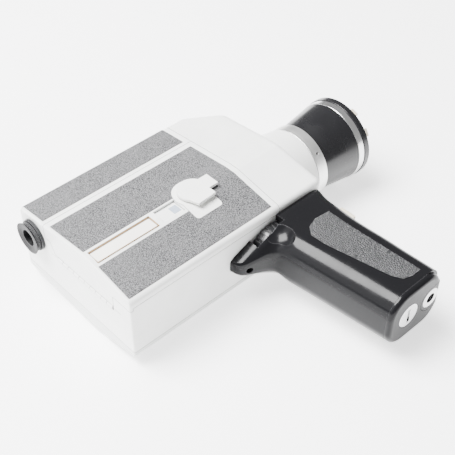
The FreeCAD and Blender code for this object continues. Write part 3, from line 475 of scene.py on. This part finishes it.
def front_x(depth):
    """Front line of the grip, slightly hollow for the fingers."""
    places = [(0.0, 89.0), (13.4, 86.0), (31.4, 85.3), (61.4, 86.4), (87.6, 87.2)]
    depth_mm = depth / MM
    for (d0, x0), (d1, x1) in zip(places, places[1:]):
        if depth_mm <= d1 or d1 == places[-1][0]:
            t = min(max((depth_mm - d0) / (d1 - d0), 0.0), 1.0)
            t = t * t * (3 - 2 * t) if d0 > 0 else 1 - (1 - t) ** 2
            return (x0 + (x1 - x0) * t) * MM


def ease(value, low, high):
    t = min(max((value - low) / (high - low), 0.0), 1.0)
    return t * t * (3 - 2 * t)


def lerp(a, b, t):
    return a + (b - a) * t


def rounded_corner(before, corner, after, radius, count=14):
    """Points of an arc that rounds one corner of an outline."""
    before, corner, after = Vector(before), Vector(corner), Vector(after)
    way_in, way_out = (before - corner), (after - corner)
    half_angle = way_in.angle(way_out) / 2.0
    reach = radius / math.tan(half_angle)
    limit = 0.4999 * min(way_in.length, way_out.length)
    if reach > limit:
        radius *= limit / reach
        reach = limit
    start = corner + way_in.normalized() * reach
    end = corner + way_out.normalized() * reach
    bisector = (way_in.normalized() + way_out.normalized()).normalized()
    centre = corner + bisector * (radius / math.sin(half_angle))
    sweep = math.pi - 2 * half_angle
    points = []
    for k in range(count + 1):
        u = math.sin(sweep * (1 - k / count)) / math.sin(sweep)
        v = math.sin(sweep * k / count) / math.sin(sweep)
        spoke = (start - centre) * u + (end - centre) * v
        points.append(centre + spoke)
    return points


def grip_ring(y, inset=0.0):
    """Outline of the grip in X and Z at one height, the tail behind it included."""
    depth = BODY_LOW_Y - y
    blend = ease(depth, 7.0 * MM, 24.0 * MM)
    half = HALF - 0.6 * MM * math.exp(-depth / (1.2 * MM)) - inset
    rear = rear_x(depth) + inset
    front = front_x(depth) - inset
    shoulder_z = lerp(4.2 * MM, half - 7.62 * MM + inset * 0.4, blend)
    shoulder_x = lerp(47.0 * MM, rear + 7.62 * MM - inset * 0.4, blend)
    tip_radius = lerp(4.6 * MM, CORNER - inset, blend)
    side_radius = lerp(8.0 * MM, CORNER - inset, blend)
    front_radius = lerp(16.0 * MM, CORNER, ease(depth, 0.0, 14.0 * MM)) - inset
    outline = [((rear, 0.0), 0.0), ((rear, shoulder_z), tip_radius), ((shoulder_x, half), side_radius),
               ((front, half), front_radius), ((front, 0.0), 0.0)]
    upper = []
    for k in range(1, 4):
        corner, radius = outline[k]
        upper += rounded_corner(outline[k - 1][0], corner, outline[k + 1][0], radius)
    ring = [(p.x, y, AXIS_Z + p.y) for p in upper]
    return ring + [(p.x, y, AXIS_Z - p.y) for p in reversed(upper)]


def grip_levels():
    """Heights of the rings, closest together where the tail sweeps in."""
    depths = [0.3 * k for k in range(6)] + [1.6 + 0.9 * k for k in range(5)]
    depths += [6.0 + 0.45 * k for k in range(22)] + [16.0 + 1.6 * k for k in range(8)]
    depths += [29.0 + 4.2 * k for k in range(14)]
    return [BODY_LOW_Y - d * MM for d in depths] + [END_Y]


def end_levels(round_off):
    rings = [grip_ring(END_Y + 0.2 * MM)]
    rings.append(grip_ring(CAP_LOW.y + round_off))
    for k in range(1, 9):
        turn = math.pi / 2 * k / 8
        level = CAP_LOW.y + round_off * (1 - math.sin(turn))
        rings.append(grip_ring(level, round_off * (1 - math.cos(turn))))
    return rings


def rounded_box_tool(low, high, radius):
    x0, y0, z0 = low
    x1, y1, z1 = high
    corners = [(x0, z0), (x1, z0), (x1, z1), (x0, z1)]
    outline = []
    for k in range(4):
        outline += rounded_corner(corners[k - 1], corners[k], corners[(k + 1) % 4], radius, 10)
    return loft("tool", [[(p.x, y, p.y) for p in outline] for y in (y0, y1)])


def bush_land(bush_x):
    """The end of the grip that stays round the tripod bush when the cap comes off."""
    land = loft("land", end_levels(END_ROUND))
    keep = rod_y_tool(LAND_R, CAP_LOW.y - MM, END_Y + MM, bush_x, AXIS_Z, 64)
    front = box_tool((bush_x, CAP_LOW.y - MM, AXIS_Z - LAND_R),
                     (bush_x + PAST_THE_GRIP, END_Y + MM, AXIS_Z + LAND_R))
    carve(keep, front, "UNION")
    carve(land, keep, "INTERSECT")
    return land


def cut_wheel_room(grip, wheel_x, wheel_low, wheel_r):
    """The scoop is cut first, and the slot's floor is just off the room's.

    With that plane shared and the scoop cut last, the boolean left nothing.
    """
    floor = wheel_low.y - WHEEL_GAP
    carve(grip, ball_tool(SCOOP_R, SCOOP_CENTRE))
    carve(grip, rod_y_tool(wheel_r + WHEEL_GAP, floor, BODY_LOW_Y + MM, wheel_x, AXIS_Z, 96))
    carve(grip, box_tool((wheel_x - SLOT_BEHIND, floor + SLOT_FLOOR_STEP, AXIS_Z + SLOT_LOW_Z),
                         (wheel_x + SLOT_AHEAD, BODY_LOW_Y + 1.3 * MM, AXIS_Z + SLOT_HIGH_Z)))


def cut_inside(grip):
    room_x0, room_x1 = BATTERY_X
    room_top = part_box("battery_contacts")[1].y
    carve(grip, rounded_box_tool((room_x0, END_Y - MM, AXIS_Z - BATTERY_HALF),
                                 (room_x1, room_top, AXIS_Z + BATTERY_HALF), BATTERY_CORNER))
    switch_x0, switch_x1 = SWITCH_X
    switch_y0, switch_y1 = SWITCH_Y
    carve(grip, box_tool((switch_x0, switch_y0, AXIS_Z - SWITCH_HALF),
                         (switch_x1, switch_y1, AXIS_Z + SWITCH_HALF)))
    way_x0, way_x1 = TRIGGER_WAY_X
    way_y0, way_y1 = TRIGGER_WAY_Y
    carve(grip, box_tool((way_x0, way_y0 - TRIGGER_SLACK, AXIS_Z - TRIGGER_HALF - TRIGGER_SLACK),
                         (way_x1, way_y1 + TRIGGER_SLACK, AXIS_Z + TRIGGER_HALF + TRIGGER_SLACK)))


def build_grip():
    grip = loft("grip_body", [grip_ring(y) for y in grip_levels()])
    bush_low, bush_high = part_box("tripod_bush")
    bush_x = (bush_low.x + bush_high.x) / 2
    wheel_low, wheel_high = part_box("clamp_wheel")
    wheel_x = (wheel_low.x + wheel_high.x) / 2
    carve(grip, bush_land(bush_x), "UNION")
    cut_wheel_room(grip, wheel_x, wheel_low, (wheel_high.x - wheel_low.x) / 2)
    cut_inside(grip)
    carve(grip, rod_y_tool(BUSH_STEM_R, CAP_LOW.y - MM, END_Y + 13 * MM, bush_x, AXIS_Z))
    carve(grip, rod_y_tool(BUSH_HEAD_R, CAP_LOW.y - MM, CAP_LOW.y + 1.4 * MM, bush_x, AXIS_Z))
    carve(grip, rod_y_tool(STRAP_R, -60 * MM, BODY_LOW_Y - 1.5 * MM, STRAP_X, AXIS_Z - MM))
    carve(grip, rod_y_tool(STUD_R, -60 * MM, -40 * MM, wheel_x, AXIS_Z))
    shade(grip.data, 24.0)
    finish_piece(grip, "grip_plastic", "camera_body")
    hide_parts("grip_shell")


def finish_piece(piece, look, body):
    piece.data.materials.clear()
    piece.data.materials.append(LOOKS[look])
    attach(piece, body)


def build_plate_edge():
    """Metal walls round the name plate's recess, coloured copper as a painted warm reflection."""
    low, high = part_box("name_plate")
    wall = 0.35 * MM
    top = high.z + 0.85 * MM
    rings = []
    for z, inset in ((low.z, 0.0), (top, 0.0), (top, wall), (low.z, wall)):
        x0, x1 = low.x + inset, high.x - inset
        y0, y1 = low.y + inset, high.y - inset
        rings.append([(x0, y0, z), (x1, y0, z), (x1, y1, z), (x0, y1, z)])
    vertices = [point for ring in rings for point in ring]
    faces = []
    for ring in range(4):
        for k in range(4):
            a, b = ring * 4 + k, ring * 4 + (k + 1) % 4
            step = ((ring + 1) % 4 - ring) * 4
            faces.append((a, b, b + step, a + step))
    edge = add_mesh("plate_edge", vertices, faces)
    finish_piece(edge, "plate_edge", "door")


def build_trigger_spring():
    """Coil spring behind the trigger, built at one length on the camera body; it does not shorten when the
    trigger is pulled.
    """
    low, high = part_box("trigger_spring")
    wire = 0.3 * MM
    centre = (low + high) / 2
    coil_r = (high.y - low.y) / 2 - wire
    turns = 3.5
    steps = 140
    length = high.x - low.x - 2 * wire
    rings = []
    for k in range(steps + 1):
        turn = 2 * math.pi * turns * k / steps
        out = Vector((0.0, math.cos(turn), math.sin(turn)))
        middle = Vector((low.x + wire + length * k / steps, centre.y, centre.z)) + out * coil_r
        rings.append([middle + out * u + Vector((v, 0, 0)) for u, v in circle(wire, 10)])
    spring = loft("trigger_coil", rings, 60.0)
    finish_piece(spring, "steel", "camera_body")
    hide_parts("trigger_spring")
    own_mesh(spring)


build_grip()
build_plate_edge()
build_trigger_spring()


# ---- floor, light and camera --------------------------------------------
def add_floor():
    size = FLOOR_SIZE
    mesh = bpy.data.meshes.new("floor")
    corners = [(-size, -size, 0), (size, -size, 0), (size, size, 0), (-size, size, 0)]
    mesh.from_pydata(corners, [], [(0, 1, 2, 3)])
    floor = bpy.data.objects.new("floor", mesh)
    bpy.context.scene.collection.objects.link(floor)
    g = Graph("floor")
    cloud = g.noise(3.0, 2.0)
    g.set(colour=g.mix(g.ramp(cloud, 0.3, 0.7), (0.93, 0.93, 0.94), (0.95, 0.95, 0.955)), rough=0.7)
    g.shader.inputs["Emission Color"].default_value = (1.0, 1.0, 1.0, 1.0)
    g.shader.inputs["Emission Strength"].default_value = FLOOR_GLOW
    mesh.materials.append(g.material)


def add_light(name, place, target, size, power):
    data = bpy.data.lights.new(name, "AREA")
    data.shape = "RECTANGLE"
    data.size, data.size_y = size
    data.energy = power
    lamp = bpy.data.objects.new(name, data)
    lamp.location = place
    lamp.rotation_euler = (Vector(target) - Vector(place)).to_track_quat("-Z", "Y").to_euler()
    bpy.context.scene.collection.objects.link(lamp)


def add_world():
    world = bpy.data.worlds.new("studio")
    world.use_nodes = True
    world.node_tree.nodes["Background"].inputs["Color"].default_value = (1.0, 1.0, 1.0, 1.0)
    world.node_tree.nodes["Background"].inputs["Strength"].default_value = SKY_STRENGTH
    bpy.context.scene.world = world


def add_camera():
    data = bpy.data.cameras.new("camera")
    data.lens = LENS_MM
    data.sensor_width = 36.0
    data.clip_start = 0.01
    camera = bpy.data.objects.new("camera", data)
    camera.location = EYE
    azimuth = math.radians(AIM_AZIMUTH)
    down = math.radians(AIM_DOWN)
    ahead = Vector((-math.sin(azimuth) * math.cos(down), math.cos(azimuth) * math.cos(down), -math.sin(down)))
    camera.rotation_euler = ahead.to_track_quat("-Z", "Y").to_euler()
    bpy.context.scene.collection.objects.link(camera)
    bpy.context.scene.camera = camera


add_floor()
add_world()
add_light("overhead", (-0.45, 0.45, 1.3), (0, 0, 0.03), (0.9, 0.9), 125.0)
add_light("side", (-1.2, 0.4, 0.7), (0, 0, 0.03), (0.9, 0.9), 6.0)
add_camera()
